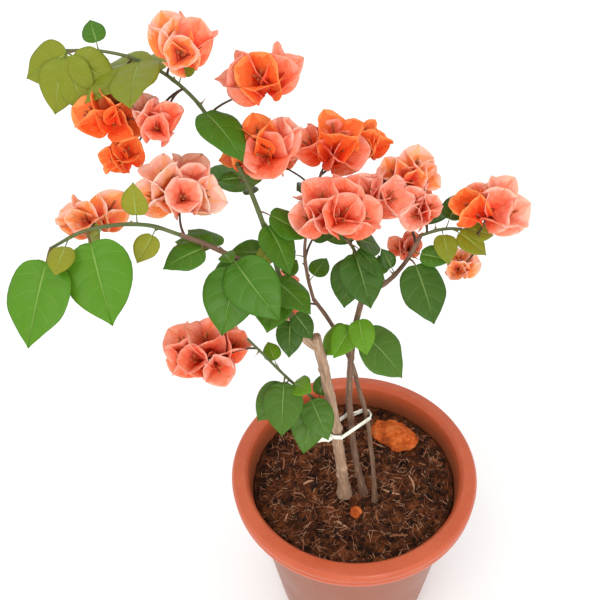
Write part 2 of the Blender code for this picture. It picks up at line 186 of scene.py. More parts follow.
class Line:
    """A centre line with its radii, read by the fraction of its length."""

    def __init__(self, points, radii):
        self.points = np.array(points, float)
        self.radii = np.array(radii, float)
        steps = np.linalg.norm(np.diff(self.points, axis=0), axis=1)
        self.reach = np.concatenate([[0], np.cumsum(steps)])
        self.length = self.reach[-1]

    def at(self, fraction):
        """The point at a fraction of the length."""
        where = fraction * self.length
        return Vector([np.interp(where, self.reach, self.points[:, axis]) for axis in range(3)])

    def heading(self, fraction):
        """The direction of growth at a fraction of the length."""
        low, high = max(fraction - 0.02, 0), min(fraction + 0.02, 1)
        return (self.at(high) - self.at(low)).normalized()

    def radius(self, fraction):
        """The radius at a fraction of the length."""
        return float(np.interp(fraction * self.length, self.reach, self.radii))

    def resampled(self, step):
        """A smooth line through the same points, with a point every step."""
        count = max(4, int(self.length / step))
        wanted = np.linspace(0, 1, count + 1)
        knots = self.reach / self.length
        slopes = np.gradient(self.points, knots, axis=0)
        place = np.clip(np.searchsorted(knots, wanted, side="right") - 1, 0, len(knots) - 2)
        span = (knots[place + 1] - knots[place])[:, None]
        t = ((wanted - knots[place]) / span[:, 0])[:, None]
        first, last = self.points[place], self.points[place + 1]
        points = ((2 * t ** 3 - 3 * t ** 2 + 1) * first + (t ** 3 - 2 * t ** 2 + t) * span * slopes[place]
                  + (3 * t ** 2 - 2 * t ** 3) * last + (t ** 3 - t ** 2) * span * slopes[place + 1])
        return Line(points, np.interp(wanted, knots, self.radii))


RING_GAP = 2.5 * MM
CURVE_STEP = 1.5 * MM
SOIL_DEPTH = 5 * MM


def ring_line(node):
    """The centres and radii of the rings of a CAD limb's tube, along its longest axis."""
    points = np.array(sorted({tuple(round(c, 6) for c in v.co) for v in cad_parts[node].data.vertices}))
    middle = points.mean(axis=0)
    axis = np.linalg.svd(points - middle, full_matrices=False)[2][0]
    along = (points - middle) @ axis
    order = np.argsort(along)
    breaks = np.where(np.diff(along[order]) > RING_GAP)[0] + 1
    rings = [points[ring] for ring in np.split(order, breaks)]
    centres = [ring.mean(axis=0) for ring in rings]
    radii = [np.linalg.norm(ring - centre, axis=1).mean() for ring, centre in zip(rings, centres)]
    return centres, radii


def limb_line(node, parent):
    """A limb's line from its foot, which starts inside the parent's line or under the soil, to its tip."""
    centres, radii = ring_line(node)
    if parent is None:
        if centres[0][2] > centres[-1][2]:
            centres, radii = centres[::-1], radii[::-1]
        foot = centres[0] - np.array((0, 0, SOIL_DEPTH))
        return Line([foot] + centres, [radii[0]] + radii).resampled(CURVE_STEP)
    gaps = [np.linalg.norm(parent.points - end, axis=1).min() for end in (centres[0], centres[-1])]
    if gaps[0] > gaps[1]:
        centres, radii = centres[::-1], radii[::-1]
    nearest = np.linalg.norm(parent.points - centres[0], axis=1).argmin()
    return Line([parent.points[nearest]] + centres[1:], [radii[1]] + radii[1:]).resampled(CURVE_STEP)


def stalk_line(start, tip, leave, arrive, radii, count=9):
    """A smooth thin stalk from start to tip that leaves and arrives in the given directions."""
    span = (tip - start).length
    points = []
    for step in range(count + 1):
        t = step / count
        points.append(start * (2 * t ** 3 - 3 * t ** 2 + 1) + leave * (t ** 3 - 2 * t ** 2 + t) * span
                      + tip * (3 * t ** 2 - 2 * t ** 3) + arrive * (t ** 3 - t ** 2) * span)
    return Line(points, np.linspace(radii[0], radii[1], count + 1))


# ---- Meshes and pieces --------------------------------------------------------------------------

def form_mesh(name, points, faces, material=None):
    """A mesh of points and faces, with its material if it has one."""
    mesh = bpy.data.meshes.new(name)
    mesh.from_pydata([tuple(point) for point in points], [], faces)
    if material:
        mesh.materials.append(material)
    return mesh


def added(name, data):
    """An object for its data, in the scene."""
    made = bpy.data.objects.new(name, data)
    bpy.context.scene.collection.objects.link(made)
    return made


def circle(radius, steps):
    """The (x, y) of points evenly spaced round a circle."""
    angles = [math.tau * step / steps for step in range(steps)]
    return [(radius * math.cos(angle), radius * math.sin(angle)) for angle in angles]


class Gather:
    """Points, faces and the finish of each face, gathered for one joined piece."""

    def __init__(self):
        self.points = []
        self.faces = []
        self.finishes = []
        self.count = 0

    def add(self, points, faces, finishes):
        """Adds a form. The finishes are one name, or a name for each face."""
        self.points.append(np.asarray(points, float))
        self.faces.extend(tuple(corner + self.count for corner in face) for face in faces)
        self.finishes.extend([finishes] * len(faces) if isinstance(finishes, str) else finishes)
        self.count += len(points)

    def piece(self, name, slot, nodes=()):
        """The joined piece, riding on the plant and standing for CAD nodes."""
        mesh = form_mesh(name, np.concatenate(self.points).tolist(), self.faces)
        names = sorted(set(self.finishes))
        for finish in names:
            mesh.materials.append(plain_material(finish))
        order = {finish: index for index, finish in enumerate(names)}
        mesh.polygons.foreach_set("material_index", [order[finish] for finish in self.finishes])
        show(name, mesh, nodes)


def show(name, mesh, nodes=()):
    """A smooth-shaded piece for a mesh, riding on the plant and standing for CAD nodes."""
    mesh.validate()
    mesh.shade_smooth()
    made = added(name, mesh)
    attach(made, "root")
    if nodes:
        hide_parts(*nodes)
    return made


def tube_form(line, sides, tip=0.6, relief=None):
    """A closed tube along a line: its points, faces, and the straightened place of each point."""
    rings = len(line.points)
    tangents = np.gradient(line.points, axis=0)
    tangents /= np.linalg.norm(tangents, axis=1)[:, None]
    side = Vector(tangents[0]).orthogonal().normalized()
    angles = np.arange(sides) * math.tau / sides
    points, grain = [], []
    for index in range(rings):
        tangent = Vector(tangents[index])
        side = (side - tangent * side.dot(tangent)).normalized()
        other = tangent.cross(side)
        for angle in angles:
            out = side * math.cos(angle) + other * math.sin(angle)
            radius = line.radii[index]
            here = Vector((math.cos(angle) * radius, math.sin(angle) * radius, line.reach[index]))
            if relief:
                radius += relief(here, line.radii[index], line.reach[index], angle)
            points.append(Vector(line.points[index]) + out * radius)
            grain.append(here)
    faces = []
    for ring in range(rings - 1):
        for turn in range(sides):
            a, b = ring * sides + turn, ring * sides + (turn + 1) % sides
            faces.append((a, b, b + sides, a + sides))
    foot, head = len(points), len(points) + 1
    points.append(Vector(line.points[0]))
    points.append(Vector(line.points[-1]) + Vector(tangents[-1]) * line.radii[-1] * tip)
    grain += [Vector((0, 0, 0)), Vector((0, 0, line.length))]
    last = (rings - 1) * sides
    for turn in range(sides):
        faces.append((foot, (turn + 1) % sides, turn))
        faces.append((head, last + turn, last + (turn + 1) % sides))
    return points, faces, grain


# ---- Materials ----------------------------------------------------------------------------------

def fresh_material(name):
    """A new Principled material, with its node tree and its shader."""
    made = bpy.data.materials.new(name)
    made.use_nodes = True
    return made, made.node_tree, made.node_tree.nodes["Principled BSDF"]


def finish_of(name):
    """The base colour, roughness and softness of a plain finish."""
    kind, _, tone = name.partition(" ")
    if kind in LEAF_FINISHES:
        toward, share, roughness = LEAF_FINISHES[kind]
        return Vector(LEAF_TONES[tone]).lerp(toward, share), roughness, LEAF_SOFTNESS
    if kind == "bract":
        return BRACT_TONES[tone], BRACT_ROUGHNESS, BRACT_SOFTNESS
    return (*PLAIN_FINISHES[kind], 0)


def plain_material(name):
    """The plain finish called name, for the joined pieces."""
    label = name.replace(" ", "_")
    found = bpy.data.materials.get(label)
    if found:
        return found
    colour, roughness, softness = finish_of(name)
    made, _, shader = fresh_material(label)
    shader.inputs["Base Color"].default_value = (*colour, 1)
    shader.inputs["Roughness"].default_value = roughness
    shader.inputs["Specular IOR Level"].default_value = SOFT_SPECULAR
    if softness:
        shader.inputs["Subsurface Weight"].default_value = softness
        shader.inputs["Subsurface Radius"].default_value = SOFT_RADIUS
        shader.inputs["Subsurface Scale"].default_value = SOFT_DEPTH
    return made


def ramp(tree, source, stops):
    """A colour ramp on a value, from stops of (place, colour)."""
    node = tree.nodes.new("ShaderNodeValToRGB")
    elements = node.color_ramp.elements
    while len(elements) < len(stops):
        elements.new(1)
    for element, (place, colour) in zip(elements, stops):
        element.position = place
        element.color = (*colour, 1)
    tree.links.new(source, node.inputs["Fac"])
    return node.outputs["Color"]


def add_node(tree, kind, inputs):
    """A shader node whose inputs are linked to sockets or set to plain values."""
    node = tree.nodes.new("ShaderNode" + kind)
    for label, value in inputs.items():
        if isinstance(value, bpy.types.NodeSocket):
            tree.links.new(value, node.inputs[label])
        else:
            node.inputs[label].default_value = value
    return node


def stretched(tree, vector, scale):
    """A vector scaled along its own axes."""
    return add_node(tree, "Mapping", {"Scale": scale, "Vector": vector}).outputs["Vector"]


def noise_value(tree, vector, scale, detail=4, roughness=0.6, distortion=0):
    """A noise value from 0 to 1."""
    inputs = {"Scale": scale, "Detail": detail, "Roughness": roughness, "Distortion": distortion}
    return add_node(tree, "TexNoise", {"Vector": vector, **inputs}).outputs["Fac"]


def ranged(tree, value, low, high, first, last):
    """A value mapped from one range to another."""
    inputs = {"From Min": low, "From Max": high, "To Min": first, "To Max": last}
    return add_node(tree, "MapRange", {"Value": value, **inputs}).outputs["Result"]


def mixed(tree, factor, first, second):
    """A mix of two colours by a factor. A colour may be a socket or a plain value."""
    node = tree.nodes.new("ShaderNodeMix")
    node.data_type = "RGBA"
    for label, value in (("Factor", factor), ("A", first), ("B", second)):
        socket = node.inputs[label]
        if isinstance(value, bpy.types.NodeSocket):
            tree.links.new(value, socket)
        else:
            socket.default_value = value if isinstance(value, float) else (*value, 1)
    return node.outputs["Result"]


def add_bump(tree, shader, height, distance):
    """A bump on the shader's normal, of a height in metres."""
    node = add_node(tree, "Bump", {"Distance": distance, "Strength": 1.0, "Height": height})
    tree.links.new(node.outputs["Normal"], shader.inputs["Normal"])


def place_vector(tree, kind):
    """The object's own coordinates, or a limb's straightened ones."""
    if kind == "Object":
        return tree.nodes.new("ShaderNodeTexCoord").outputs["Object"]
    node = tree.nodes.new("ShaderNodeAttribute")
    node.attribute_name = kind
    return node.outputs["Vector"]


BARKS = {
    "grey_bark": ((0.16, 0.090, 0.060), (0.36, 0.220, 0.135), (0.60, 0.440, 0.310)),
    "brown_bark": ((0.055, 0.028, 0.017), (0.150, 0.078, 0.045), (0.310, 0.190, 0.120)),
    "green_bark": ((0.045, 0.065, 0.016), (0.085, 0.115, 0.028), (0.150, 0.170, 0.060)),
}


def bark_material(kind):
    """Bark with long streaks, fine cracks and pale flecks, along the limb."""
    label = kind + "_finish"
    if bpy.data.materials.get(label):
        return bpy.data.materials[label]
    deep, main, pale = BARKS[kind]
    made, tree, shader = fresh_material(label)
    grain = place_vector(tree, "grain")
    streaks = noise_value(tree, stretched(tree, grain, (700, 700, 55)), 1.0, 6, 0.62, 0.3)
    patches = noise_value(tree, stretched(tree, grain, (150, 150, 60)), 1.0, 3)
    flecks = noise_value(tree, stretched(tree, grain, (1500, 1500, 900)), 1.0, 2)
    streaked = ramp(tree, streaks, ((0.30, deep), (0.50, main), (0.70, pale)))
    patched = mixed(tree, ranged(tree, patches, 0.40, 0.65, 0.0, 0.55), streaked, main)
    flecked = mixed(tree, ranged(tree, flecks, 0.62, 0.72, 0.0, 0.45), patched, pale)
    tree.links.new(flecked, shader.inputs["Base Color"])
    tree.links.new(ranged(tree, streaks, 0.3, 0.7, 0.85, 0.62), shader.inputs["Roughness"])
    add_bump(tree, shader, streaks, 0.0004)
    return made


# ---- Limbs --------------------------------------------------------------------------------------

NODE_SPACING = 21 * MM
NODE_RUN = 2.6 * MM
NODE_SWELLING = 0.16
RIDGE_DEPTH = {"grey_bark": 0.085, "brown_bark": 0.060, "green_bark": 0.035}
NODE_REACH = 0.01
STUB_SLANT = 0.55
THORN_CHANCE = 0.55
UV_MARGIN = 0.02


def limb_nodes(name, rng):
    """How far along a limb its buds are, evenly but for a little wander."""
    count = int(LINES[name].length / NODE_SPACING)
    return [(index + rng.uniform(-0.25, 0.25)) / (count + 1) for index in range(1, count + 1)]


def bark_relief(name, bark, marks):
    """How far the bark stands out at a place on a limb: ridges, cracks and swellings at its buds."""
    line = LINES[name]
    depth = RIDGE_DEPTH[bark]
    spots = [(mark * line.length, GOLDEN_ANGLE * index) for index, mark in enumerate(marks)]

    def relief(here, radius, reach, angle):
        stretched_place = Vector((here.x / radius * 1.9, here.y / radius * 1.9, reach / (9 * MM)))
        ridges = noise.noise(stretched_place) * 0.7 + noise.noise(stretched_place * 2.3) * 0.45
        cracks = abs(noise.noise(stretched_place * 3.7 + Vector((7, 3, 1))))
        height = depth * (ridges - 0.5 * cracks)
        for spot, turn in spots:
            near = math.exp(-((reach - spot) / NODE_RUN) ** 2)
            if near > NODE_REACH:
                facing = max(0, math.cos(angle - turn)) ** 3
                height += near * NODE_SWELLING * (0.45 + 1.1 * facing)
        return radius * height

    return relief


def straight_uv(mesh, line, sides):
    """An unrolled UV map of a tube: round it across, and along it upward."""
    layer = mesh.uv_layers.new(name="OFBake")
    tube_points = len(line.points) * sides
    width = 1 - 2 * UV_MARGIN
    for polygon in mesh.polygons:
        turns = [index % sides for index in polygon.vertices if index < tube_points]
        wraps = max(turns) - min(turns) > sides / 2
        for loop, index in zip(polygon.loop_indices, polygon.vertices):
            if index >= tube_points:
                turn, reach = sum(turns) / len(turns), (0 if index == tube_points else line.length)
            else:
                turn, reach = index % sides, line.reach[index // sides]
                if wraps and turn < sides / 2:
                    turn += sides
            layer.data[loop].uv = (UV_MARGIN + width * turn / sides, UV_MARGIN + width * reach / line.length)


def saw_off(points, line):
    """Slants the last rings of the trunk, as a saw left them."""
    tip = Vector(line.points[-1])
    for index, point in enumerate(points):
        limit = tip.z + (point - tip).x * STUB_SLANT
        if point.z > limit:
            points[index] = Vector((point.x, point.y, limit))


def build_limb(name):
    """A limb's bark, with relief, in place of its CAD tube."""
    _, bark, sides = LIMBS[name]
    rng = random.Random("limb " + name)
    line = LINES[name]
    marks = limb_nodes(name, rng)
    tip = 0.2 if name == "trunk" else 0.7
    points, faces, grain = tube_form(line, sides, tip, bark_relief(name, bark, marks))
    if name == "trunk":
        saw_off(points, line)
    mesh = form_mesh(name + "_bark", points, faces, bark_material(bark))
    straight_uv(mesh, line, sides)
    attribute = mesh.attributes.new("grain", "FLOAT_VECTOR", "POINT")
    attribute.data.foreach_set("vector", [c for place in grain for c in place])
    show(name + "_bark", mesh, [name])
    for index, mark in enumerate(marks):
        add_bud(name, mark, index, rng)


def add_bud(name, mark, index, rng):
    """A bud at a node of a limb, and on the younger limbs a thorn beside it."""
    line = LINES[name]
    heading = line.heading(mark)
    side = heading.orthogonal().normalized()
    out = Matrix.Rotation(GOLDEN_ANGLE * index, 3, heading) @ side
    start = line.at(mark) + out * line.radius(mark) * 0.8
    tip = start + out * 1.4 * MM + heading * 1.2 * MM
    bud = stalk_line(start, tip, out, heading, (0.9 * MM, 0.35 * MM), count=4)
    add_tube("bud", bud, 6)
    if rng.random() < THORN_CHANCE and name != "trunk":
        length = rng.uniform(4.5, 8) * MM
        spike = start + out * length + heading * length * 0.25 - UP * length * 0.15
        add_tube("thorn", stalk_line(start, spike, out, out, (0.65 * MM, 0.10 * MM), count=5), 6)


def add_tube(finish, line, sides):
    """A thin tube in the joined twigs."""
    points, faces, _ = tube_form(line, sides)
    TWIG_GATHER.add(points, faces, finish)


# ---- Leaves -------------------------------------------------------------------------------------

# One side of a blade from its stalk to its tip, for a blade of length 1 and half breadth 1.
BLADE_EDGE = ((0, 0), (-0.015, 0.20), (0, 0.45), (0.07, 0.72), (0.20, 0.94), (0.36, 1), (0.54, 0.92),
              (0.70, 0.70), (0.83, 0.42), (0.92, 0.18), (0.965, 0.07), (1, 0))
BLADE_BREADTH = 0.80
BLADE_THICKNESS = 0.28 * MM
BLADE_CELL = 2.0 * MM
VEIN_PAIRS = 6
VEIN_WIDTH = 0.30 * MM
MIDRIB_WIDTH = 0.55 * MM
VEIN_SWEEP = 2.0
VEIN_SLANT = 1.3
VEIN_SAG = 0.06
EDGE_SAMPLES = 400


def edge_curve(corners, count):
    """A smooth curve through an outline's corners, evenly spaced along its length."""
    line = Line([(x, y, 0) for x, y in corners], [0] * len(corners)).resampled(1 / 200)
    places = np.linspace(0, line.length, count)
    return np.stack([np.interp(places, line.reach, line.points[:, axis]) for axis in (0, 1)], axis=1)


def vein_rows(pairs, half_width, fill):
    """Rows from the stalk to the tip: a narrow one at each side vein, and some between."""
    rows = [0.0]
    for index in range(pairs + 1):
        first, last = rows[-1], (index + 1) / (pairs + 1)
        stop = last - half_width if index < pairs else 1.0
        rows += list(np.linspace(first, stop, fill + 2)[1:])
        if index < pairs:
            rows.append(last + half_width)
    return np.array(rows)


def sheet_grid(corners, breadth, pairs, length, columns, fill, rib):
    """A blade's flat grid whose rows follow its side veins: x, y, the row and the column of each."""
    rows = vein_rows(pairs, 0.5 * VEIN_WIDTH / length / VEIN_SLANT, fill)
    edge = edge_curve(corners, EDGE_SAMPLES)
    where = np.linspace(0, 1, EDGE_SAMPLES)
    edge_x = np.interp(rows, where, edge[:, 0])
    edge_y = np.interp(rows, where, edge[:, 1])
    root = rows ** VEIN_SWEEP
    side = np.concatenate([[rib], np.linspace(rib, 1, columns + 1)[1:]])
    across = np.concatenate([-side[::-1], [0], side])
    reach = np.abs(across)
    sag = -VEIN_SAG * np.sin(math.pi * reach)
    x = root[:, None] * (1 - reach) + edge_x[:, None] * reach + sag * edge_y[:, None] * breadth
    y = edge_y[:, None] * breadth / 2 * across
    return x * length, y * length, rows, across


def closed_sheet(top, normals, thickness):
    """A thin closed form from a grid of top points whose first and last rows are single points."""
    count_r, count_c = top.shape[:2]
    bottom = top - normals * thickness
    points = [top[0, 0], top[-1, 0]]
    index = np.zeros((2, count_r, count_c), int)
    index[:, -1, :] = 1
    inner = count_c * (count_r - 2)
    points += list(top[1:-1].reshape(-1, 3)) + list(bottom[1:-1].reshape(-1, 3))
    block = 2 + np.arange(inner).reshape(count_r - 2, count_c)
    index[0, 1:-1] = block
    index[1, 1:-1] = block + inner
    faces, places = [], []

    def add_face(corners, back, place):
        """Adds a face, without the corners that fall together."""
        corners = corners[::-1] if back else corners
        corners = tuple(n for k, n in enumerate(corners) if n != corners[k - 1])
        if len(corners) > 2:
            faces.append(corners)
            places.append(place)

    for layer, grid in enumerate(index):
        for r in range(count_r - 1):
            for c in range(count_c - 1):
                corners = [grid[r, c], grid[r, c + 1], grid[r + 1, c + 1], grid[r + 1, c]]
                add_face(corners, layer == 1, (layer, r, c))
    over, under = index
    for c in (0, count_c - 1):
        for r in range(count_r - 1):
            corners = [over[r, c], over[r + 1, c], under[r + 1, c], under[r, c]]
            add_face(corners, c > 0, (0, r, min(c, count_c - 2)))
    return points, faces, places


def grid_normals(grid):
    """The normals of a grid of points."""
    down = np.gradient(grid, axis=0)
    over = np.gradient(grid, axis=1)
    normals = np.cross(down, over)
    size = np.linalg.norm(normals, axis=2, keepdims=True)
    normals = normals / np.where(size > 1e-12, size, 1)
    normals[0] = normals[1]
    normals[-1] = normals[-2]
    return normals


def add_leaf(gather, base, direction, facing, length, tone, rng):
    """A heart-shaped leaf with a ribbed, waved blade, joined into a piece."""
    breadth = BLADE_BREADTH * rng.uniform(0.95, 1.05)
    columns = max(3, round(length * breadth / 2 / BLADE_CELL))
    fill = 1 if length < 30 * MM else 2
    rib = min(0.2, MIDRIB_WIDTH / (length * breadth / 2))
    x, y, rows, across = sheet_grid(BLADE_EDGE, breadth, VEIN_PAIRS, length, columns, fill, rib)
    reach = np.abs(across)[None, :]
    phase = rng.uniform(0, math.tau)
    waves = rng.uniform(2.2, 3.4)
    quilt = np.sin(math.pi * (VEIN_PAIRS + 1) * rows[:, None]) ** 2 * np.sin(math.pi * reach ** 0.8)
    wave = np.sin(math.tau * waves * rows[:, None] + phase + 1.3 * np.sign(across)[None, :])
    droop = rng.uniform(0.10, 0.30)
    fold = rng.uniform(0.04, 0.20)
    twist = rng.uniform(-0.22, 0.22)
    z = (-droop * x * x / length + fold * np.abs(y) - 0.35 * y * y / length + 0.016 * length * quilt
         + 0.022 * length * wave * reach ** 2 * np.sin(math.pi * rows[:, None]) + twist * x * y / length)
    z -= 0.5 * MIDRIB_WIDTH * (reach < rib * 0.5)
    normal = (facing - direction * facing.dot(direction)).normalized()
    side = normal.cross(direction)
    axes = np.array([direction, side, normal])
    top = np.stack([x, y, z], axis=2) @ axes + np.array(base)
    points, faces, places = closed_sheet(top, grid_normals(top), BLADE_THICKNESS)
    narrow = np.diff(rows) < VEIN_WIDTH / length
    centre = (len(across) - 1) // 2
    finishes = []
    for layer, r, c in places:
        if layer:
            finishes.append("underside " + tone)
        elif c in (centre - 1, centre):
            finishes.append("midrib " + tone)
        elif narrow[r] and reach[0, c:c + 2].max() < 0.9:
            finishes.append("vein " + tone)
        else:
            finishes.append("leaf " + tone)
    gather.add(points, faces, finishes)


def grow_leaf(gather, host, mark, base, direction, facing, length, tone, rng):
    """A leaf on the stalk that holds its base out from a limb or twig."""
    line = LINES[host]
    start = line.at(mark)
    radius = max(0.42, min(0.85, length / (60 * MM))) * MM
    leave = ((base - start).normalized() + line.heading(mark) * 0.4).normalized()
    stalk = stalk_line(start, base, leave, direction, (1.25 * radius, 0.8 * radius))
    add_tube("stalk" if rng.random() < 0.7 else "ruddy_stalk", stalk, 8)
    add_leaf(gather, base, direction, facing, length, tone, rng)


# ---- Bracts and flowers -------------------------------------------------------------------------

# One side of a bract from its foot to its tip, for a bract of length 1 and half breadth 1.
BRACT_EDGE = ((0, 0), (0, 0.34), (0.06, 0.70), (0.20, 0.95), (0.42, 1), (0.63, 0.92), (0.80, 0.70),
              (0.92, 0.38), (0.975, 0.14), (1, 0))
BRACT_BREADTH = 0.98
BRACT_THICKNESS = 0.22 * MM
BRACT_CELL = 2.2 * MM
BRACT_VEINS = 5
BRACT_RIB = 0.3 * MM
BRACTS = 3
CLOSED_LEAN = (5, 15)
OPEN_LEAN = (28, 50)
FLOWER_STEPS = 12
FLOWER_SIDES = 10
STALK_RADII = (0.60 * MM, 0.50 * MM)


def add_bract(gather, base, axis, out, length, palette, opening, rng):
    """A papery bract, cupped round the cluster's axis, with a ruffled edge."""
    breadth = BRACT_BREADTH * rng.uniform(0.92, 1.10)
    columns = max(4, round(length * breadth / 2 / BRACT_CELL))
    rib = BRACT_RIB / (length * breadth / 2)
    x, y, rows, across = sheet_grid(BRACT_EDGE, breadth, BRACT_VEINS, length, columns, 2, rib)
    reach = np.abs(across)[None, :]
    lean_foot, lean_tip = opening
    u = np.clip(x / length, 0, 1)
    lean = lean_foot + (lean_tip - lean_foot) * u / 2
    along = np.cos(lean) * x
    outward = np.sin(lean) * x
    here = lean_foot + (lean_tip - lean_foot) * u
    curl = rng.uniform(0.5, 1.0) / length
    lateral = np.sin(curl * y) / curl
    inward = (1 - np.cos(curl * y)) / curl
    phase = rng.uniform(0, math.tau)
    waves = rng.uniform(1.6, 2.6)
    ruffle = np.sin(math.tau * waves * rows[:, None] + phase + 2.1 * np.sign(across)[None, :])
    quilt = np.sin(math.pi * (BRACT_VEINS + 1) * rows[:, None]) ** 2 * np.sin(math.pi * reach)
    crinkle = np.array([[noise.noise(Vector((a * 9, b * 9, phase))) for a, b in zip(row_x, row_y)]
                        for row_x, row_y in zip(x / length, y / length)])
    lift = (inward + 0.055 * length * ruffle * reach ** 2 * np.sin(math.pi * rows[:, None])
            - 0.020 * length * quilt + 0.035 * length * crinkle * np.sin(math.pi * rows[:, None]))
    side = axis.cross(out)
    normal_axis, normal_out = np.sin(here), -np.cos(here)
    top = (np.array(base) + (along + lift * normal_axis)[..., None] * np.array(axis)
           + (outward + lift * normal_out)[..., None] * np.array(out) + lateral[..., None] * np.array(side))
    points, faces, places = closed_sheet(top, -grid_normals(top), BRACT_THICKNESS)
    tones = PALETTES[palette]
    shift = rng.uniform(-0.10, 0.12)
    finishes = []
    for layer, r, c in places:
        spread = max(abs(across[c]), abs(across[c + 1]))
        height = u[r, c]
        drift = 0.16 * noise.noise(Vector((height * 4, across[c] * 3, phase + 5)))
        # Deeper toward the foot and the midrib, paler toward the edge; the deep foot is partly painted shade
        # in the heart of the cluster.
        level = 0.62 * height + 0.42 * spread ** 2 + shift + drift + 0.05 * layer
        finishes.append("bract " + tones[int(min(max(level * 5, 0), 4.99))])
    gather.add(points, faces, finishes)
    add_flower(base, axis, out, length, lean_foot, lean_tip, rng)


def add_flower(base, axis, out, length, lean_foot, lean_tip, rng):
    """The slender closed flower that stands on a bract's midrib."""
    reach = rng.uniform(0.52, 0.66)
    points, radii = [], []
    for step in range(FLOWER_STEPS + 1):
        t = step / FLOWER_STEPS
        u = 0.10 + reach * t
        lean = lean_foot + (lean_tip - lean_foot) * u / 2 - 0.10
        off = 1.3 * MM + 1.2 * MM * t
        points.append(base + (axis * math.cos(lean) + out * math.sin(lean)) * length * u
                      + (axis * math.sin(lean) - out * math.cos(lean)) * off)
        belly = 0.30 * math.exp(-((t - 0.22) / 0.16) ** 2) + 0.42 * math.exp(-((t - 0.86) / 0.14) ** 2)
        radii.append((0.52 + belly) * MM * length / (32 * MM))
    form, faces, _ = tube_form(Line(points, radii), FLOWER_SIDES, 1.0)
    finishes = []
    for index in range(len(faces)):
        body = "flower_ribs" if index % 2 else "flower_tube"
        finishes.append("flower_tip" if index // FLOWER_SIDES >= FLOWER_STEPS - 1 else body)
    TWIG_GATHER.add(form, faces, finishes)


def grow_cluster(gather, host, mark, base, axis, length, palette, rng):
    """Three bracts round their flowers, on a stalk."""
    line = LINES[host]
    start = line.at(mark)
    leave = ((base - start).normalized() + line.heading(mark) * 0.5).normalized()
    add_tube(rng.choice(("stalk", "ruddy_stalk")), stalk_line(start, base, leave, axis, STALK_RADII), 8)
    first = axis.orthogonal().normalized()
    turn = rng.uniform(0, math.tau)
    opening = (math.radians(rng.uniform(*CLOSED_LEAN)), math.radians(rng.uniform(*OPEN_LEAN)))
    for index in range(BRACTS):
        out = Matrix.Rotation(turn + index * math.tau / BRACTS + rng.uniform(-0.15, 0.15), 3, axis) @ first
        size = length * rng.uniform(0.93, 1.06)
        add_bract(gather, base, axis, out, size, palette, opening, rng)


# ---- Growth -------------------------------------------------------------------------------------

WOODY_RADIUS = 0.9 * MM
LEAF_TWIG_RADII = (1.1 * MM, 0.6 * MM)
BRACT_TWIG_RADII = (0.95 * MM, 0.55 * MM)

# Leaves: the gap beyond which a mass needs a twig, how far along the twig its fan sits, the turn and the
# spacing from leaf to leaf, a leaf's share of its mass's length, and how much shorter each outer one is.
LONG_GAP = 16 * MM
FAN_SEAT = 0.82
FAN_STEP = math.radians(42)
FAN_SPACING = 7 * MM
FAN_SHARE = (0.80, 1.02)
FAN_SHRINK = 0.05
LEAF_STALK = (6, 9)
YOUNG_CHANCE = 0.8
YOUNG_LENGTHS = (15, 26)
YOUNG_FACING = Vector((0, -0.6, 1))

# Clusters: their greatest length, the mass's area that each takes, their length by the mass's half
# breadth, the way they face, how upright they stand, how deep they sit, and how far round they spread.
CLUSTER_LENGTH = 33 * MM
CLUSTER_AREA = (9.2 * MM) ** 2
CLUSTER_SPAN = 1.75
CLUSTER_FACING = Vector((0, -0.45, 0.89))
CLUSTER_UPRIGHT = 0.65
CLUSTER_SEAT = 0.72
CLUSTER_WRAP = 1.2
CLUSTER_FORK = 0.45


def mass_axes(node):
    """A mass's centre, its directions from longest to thinnest, and its half sizes along them."""
    points = np.array([vertex.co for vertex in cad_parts[node].data.vertices])
    centre = (points.max(axis=0) + points.min(axis=0)) / 2
    axes = np.linalg.svd(points - points.mean(axis=0), full_matrices=False)[2]
    half = np.abs((points - centre) @ axes.T).max(axis=0)
    return Vector(centre), [Vector(axis) for axis in axes], half


def nearest_limb(point):
    """The gap to the limb that passes nearest to a point, its name, and how far along it that is."""
    found = []
    for name in LIMBS:
        gaps = np.linalg.norm(LINES[name].points - np.array(point), axis=1)
        index = int(gaps.argmin())
        found.append((float(gaps[index]), name, float(LINES[name].reach[index] / LINES[name].length)))
    return min(found)


def grow_twig(name, host, mark, tip, radii):
    """A twig from a limb to a tip, ready to carry leaves or clusters."""
    start = LINES[host].at(mark)
    way = (tip - start).normalized()
    line = stalk_line(start, tip, (LINES[host].heading(mark) * 0.5 + way).normalized(),
                      (way + UP * 0.25).normalized(), radii, count=16)
    LINES[name] = line
    add_tube("woody_twig" if radii[0] > WOODY_RADIUS else "ruddy_stalk", line, 10)


def grow_leaf_mass(gather, mass, tone, count):
    """A mass's leaves: one that fills it, or a fan. A mass far from the limbs hangs on a twig."""
    rng = random.Random("leaves " + mass)
    centre, (along, _, normal), half = mass_axes("leaf_mass_" + mass)
    if normal.dot(UP) < 0:
        normal = -normal
    ends = [nearest_limb(centre - along * half[0]), nearest_limb(centre + along * half[0])]
    if ends[1] < ends[0]:
        along = -along
    gap, host, mark = min(ends)
    foot = centre - along * half[0]
    if gap > LONG_GAP:
        grow_twig(mass, host, mark, centre, LEAF_TWIG_RADII)
        host, mark = mass, FAN_SEAT
    line = LINES[host]
    for index in range(count):
        step = index - (count - 1) / 2
        here = min(max(mark + step * FAN_SPACING / line.length, 0.02), 0.99)
        turn = step * FAN_STEP + rng.uniform(-0.2, 0.2) if count > 1 else 0
        direction = (Matrix.Rotation(turn, 3, normal) @ along - UP * rng.uniform(0, 0.15)).normalized()
        facing = normal + Vector((rng.uniform(-0.3, 0.3), rng.uniform(-0.3, 0.1), 0))
        length = 2 * half[0] * (1.0 if count == 1 else rng.uniform(*FAN_SHARE) - FAN_SHRINK * abs(step))
        start = line.at(here)
        base = foot
        if count > 1:
            base = start + direction * rng.uniform(*LEAF_STALK) * MM + normal * 2 * MM
        grow_leaf(gather, host, here, base, direction, facing, length, tone, rng)


